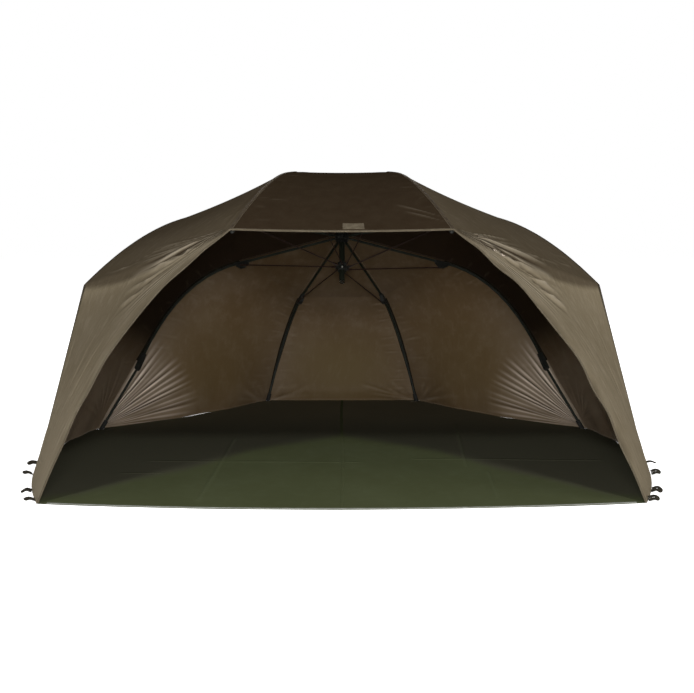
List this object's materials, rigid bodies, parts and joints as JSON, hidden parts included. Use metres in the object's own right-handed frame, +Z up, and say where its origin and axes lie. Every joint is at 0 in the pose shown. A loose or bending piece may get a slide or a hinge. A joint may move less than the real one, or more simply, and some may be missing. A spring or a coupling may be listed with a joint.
{
  "type": "fishing umbrella",
  "caption": "Oval fishing umbrella shelter on a tilted ribbed frame with ground feet, folding rear legs, peg loops and a groundsheet, open at the front.",
  "frame": {"origin": "under the middle of the whole object, on the ground", "axes": "+X to the right seen from the open front, +Y from the open front to the back, +Z up"},
  "size_m": [2.8492, 2.1156, 1.3095],
  "materials": {
    "canopy": "coated polyester, dull sheen",
    "sheet": "heavy coated groundsheet cloth",
    "frame": "satin dark coating",
    "moulding": "fine moulded grain",
    "rubber": "matt",
    "bright": "turned",
    "webbing": "flat woven tape"
  },
  "bodies": {
    "groundsheet": {"groundsheet": "sheet"},
    "umbrella": {"hub_block": "moulding", "hub_cap": "moulding", "centre_tube": "frame", "tube_ferrule": "bright", "canopy_back": "canopy", "canopy_back_side_left": "canopy", "canopy_back_side_right": "canopy", "canopy_front": "canopy", "canopy_front_side_left": "canopy", "canopy_front_side_right": "canopy", "canopy_side_left": "canopy", "canopy_side_right": "canopy", "peg_loop_corner_left": "webbing", "peg_loop_corner_right": "webbing", "peg_loop_front_left": "webbing", "peg_loop_front_right": "webbing", "peg_loop_middle_left": "webbing", "peg_loop_middle_right": "webbing", "peg_loop_rear_left": "webbing", "peg_loop_rear_right": "webbing"},
    "runner": {"runner": "moulding"},
    "lock_button": {"runner_lock_button": "bright"},
    "rib_back_left": {"rib_back_left": "frame", "strut_bracket_back_left": "moulding", "foot_back_left": "rubber"},
    "strut_back_left": {"strut_back_left": "frame"},
    "rib_side_left": {"rib_side_left": "frame", "strut_bracket_side_left": "moulding", "leg_knuckle_side_left": "moulding"},
    "strut_side_left": {"strut_side_left": "frame"},
    "leg_side_left": {"leg_side_left": "frame", "foot_side_left": "rubber"},
    "rib_front_side_left": {"rib_front_side_left": "frame", "strut_bracket_front_side_left": "moulding", "rib_tip_front_side_left": "moulding"},
    "strut_front_side_left": {"strut_front_side_left": "frame"},
    "rib_front_left": {"rib_front_left": "frame", "strut_bracket_front_left": "moulding", "rib_tip_front_left": "moulding"},
    "strut_front_left": {"strut_front_left": "frame"},
    "rib_back_right": {"rib_back_right": "frame", "strut_bracket_back_right": "moulding", "foot_back_right": "rubber"},
    "strut_back_right": {"strut_back_right": "frame"},
    "rib_side_right": {"rib_side_right": "frame", "strut_bracket_side_right": "moulding", "leg_knuckle_side_right": "moulding"},
    "strut_side_right": {"strut_side_right": "frame"},
    "leg_side_right": {"leg_side_right": "frame", "foot_side_right": "rubber"},
    "rib_front_side_right": {"rib_front_side_right": "frame", "strut_bracket_front_side_right": "moulding", "rib_tip_front_side_right": "moulding"},
    "strut_front_side_right": {"strut_front_side_right": "frame"},
    "rib_front_right": {"rib_front_right": "frame", "strut_bracket_front_right": "moulding", "rib_tip_front_right": "moulding"},
    "strut_front_right": {"strut_front_right": "frame"}
  },
  "joints": [
    {"name": "lift_off", "type": "slide", "parent": "groundsheet", "child": "umbrella", "axis": [0, 0, 1], "range_m": [0, 1.2]},
    {"name": "runner_slide", "type": "slide", "parent": "umbrella", "child": "runner", "axis": [0, -0.6428, -0.766], "range_m": [0, 0.7305]},
    {"name": "lock_press", "type": "slide", "parent": "runner", "child": "lock_button", "axis": [0, 0.766, -0.6428], "range_m": [0, 0.0025], "stiffness_N_per_m": 400},
    {"name": "rib_fold_back_left", "type": "hinge", "parent": "umbrella", "child": "rib_back_left", "pos_m": [-0.01082, 0.6107, 0.9628], "axis": [-0.9092, -0.3189, 0.2676], "range_deg": [0, 50], "deforming": ["canopy_back", "canopy_back_side_left"]},
    {"name": "strut_fold_back_left", "type": "hinge", "parent": "runner", "child": "strut_back_left", "pos_m": [-0.01332, 0.48825, 0.80839], "axis": [-0.9092, -0.3189, 0.2676], "range_deg": [-43.3, 0]},
    {"name": "rib_fold_side_left", "type": "hinge", "parent": "umbrella", "child": "rib_side_left", "pos_m": [-0.02471, 0.59878, 0.97281], "axis": [-0.3107, -0.7281, 0.611], "range_deg": [0, 50], "deforming": ["canopy_side_left"]},
    {"name": "strut_fold_side_left", "type": "hinge", "parent": "runner", "child": "strut_side_left", "pos_m": [-0.03042, 0.47358, 0.8207], "axis": [-0.3107, -0.7281, 0.611], "range_deg": [-43.3, 0]},
    {"name": "leg_fold_side_left", "type": "hinge", "parent": "rib_side_left", "child": "leg_side_left", "pos_m": [-1.08549, 0.47935, 0.29108], "axis": [-0.3107, -0.7281, 0.611], "range_deg": [0, 150]},
    {"name": "rib_fold_front_side_left", "type": "hinge", "parent": "umbrella", "child": "rib_front_side_left", "pos_m": [-0.02432, 0.58555, 0.98391], "axis": [0.3535, -0.7166, 0.6013], "range_deg": [0, 50], "deforming": ["canopy_front_side_left"]},
    {"name": "strut_fold_front_side_left", "type": "hinge", "parent": "runner", "child": "strut_front_side_left", "pos_m": [-0.02993, 0.4573, 0.83436], "axis": [0.3535, -0.7166, 0.6013], "range_deg": [-43.3, 0]},
    {"name": "rib_fold_front_left", "type": "hinge", "parent": "umbrella", "child": "rib_front_left", "pos_m": [-0.00982, 0.57415, 0.99347], "axis": [0.9259, -0.2894, 0.2429], "range_deg": [0, 50], "deforming": ["canopy_front"]},
    {"name": "strut_fold_front_left", "type": "hinge", "parent": "runner", "child": "strut_front_left", "pos_m": [-0.01209, 0.44327, 0.84613], "axis": [0.9259, -0.2894, 0.2429], "range_deg": [-43.3, 0]},
    {"name": "rib_fold_back_right", "type": "hinge", "parent": "umbrella", "child": "rib_back_right", "pos_m": [0.01082, 0.6107, 0.9628], "axis": [-0.9092, 0.3189, -0.2676], "range_deg": [0, 50], "deforming": ["canopy_back_side_right"]},
    {"name": "strut_fold_back_right", "type": "hinge", "parent": "runner", "child": "strut_back_right", "pos_m": [0.01332, 0.48825, 0.80839], "axis": [-0.9092, 0.3189, -0.2676], "range_deg": [-43.3, 0]},
    {"name": "rib_fold_side_right", "type": "hinge", "parent": "umbrella", "child": "rib_side_right", "pos_m": [0.02471, 0.59878, 0.97281], "axis": [-0.3107, 0.7281, -0.611], "range_deg": [0, 50], "deforming": ["canopy_side_right"]},
    {"name": "strut_fold_side_right", "type": "hinge", "parent": "runner", "child": "strut_side_right", "pos_m": [0.03042, 0.47358, 0.8207], "axis": [-0.3107, 0.7281, -0.611], "range_deg": [-43.3, 0]},
    {"name": "leg_fold_side_right", "type": "hinge", "parent": "rib_side_right", "child": "leg_side_right", "pos_m": [1.08549, 0.47935, 0.29108], "axis": [-0.3107, 0.7281, -0.611], "range_deg": [0, 150]},
    {"name": "rib_fold_front_side_right", "type": "hinge", "parent": "umbrella", "child": "rib_front_side_right", "pos_m": [0.02432, 0.58555, 0.98391], "axis": [0.3535, 0.7166, -0.6013], "range_deg": [0, 50], "deforming": ["canopy_front_side_right"]},
    {"name": "strut_fold_front_side_right", "type": "hinge", "parent": "runner", "child": "strut_front_side_right", "pos_m": [0.02993, 0.4573, 0.83436], "axis": [0.3535, 0.7166, -0.6013], "range_deg": [-43.3, 0]},
    {"name": "rib_fold_front_right", "type": "hinge", "parent": "umbrella", "child": "rib_front_right", "pos_m": [0.00982, 0.57415, 0.99347], "axis": [0.9259, 0.2894, -0.2429], "range_deg": [0, 50]},
    {"name": "strut_fold_front_right", "type": "hinge", "parent": "runner", "child": "strut_front_right", "pos_m": [0.01209, 0.44327, 0.84613], "axis": [0.9259, 0.2894, -0.2429], "range_deg": [-43.3, 0]}
  ],
  "couplings": [
    {"joint": "runner_slide", "follows": "lift_off", "ratio": 0.60875},
    {"joint": "rib_fold_back_left", "follows": "lift_off", "rad_per_m": 0.72722},
    {"joint": "strut_fold_back_left", "follows": "lift_off", "rad_per_m": -0.62977},
    {"joint": "rib_fold_side_left", "follows": "lift_off", "rad_per_m": 0.72722},
    {"joint": "strut_fold_side_left", "follows": "lift_off", "rad_per_m": -0.62977},
    {"joint": "leg_fold_side_left", "follows": "lift_off", "rad_per_m": 2.1817},
    {"joint": "rib_fold_front_side_left", "follows": "lift_off", "rad_per_m": 0.72722},
    {"joint": "strut_fold_front_side_left", "follows": "lift_off", "rad_per_m": -0.62977},
    {"joint": "rib_fold_front_left", "follows": "lift_off", "rad_per_m": 0.72722},
    {"joint": "strut_fold_front_left", "follows": "lift_off", "rad_per_m": -0.62977},
    {"joint": "rib_fold_back_right", "follows": "lift_off", "rad_per_m": 0.72722},
    {"joint": "strut_fold_back_right", "follows": "lift_off", "rad_per_m": -0.62977},
    {"joint": "rib_fold_side_right", "follows": "lift_off", "rad_per_m": 0.72722},
    {"joint": "strut_fold_side_right", "follows": "lift_off", "rad_per_m": -0.62977},
    {"joint": "leg_fold_side_right", "follows": "lift_off", "rad_per_m": 2.1817},
    {"joint": "rib_fold_front_side_right", "follows": "lift_off", "rad_per_m": 0.72722},
    {"joint": "strut_fold_front_side_right", "follows": "lift_off", "rad_per_m": -0.62977},
    {"joint": "rib_fold_front_right", "follows": "lift_off", "rad_per_m": 0.72722},
    {"joint": "strut_fold_front_right", "follows": "lift_off", "rad_per_m": -0.62977}
  ]
}
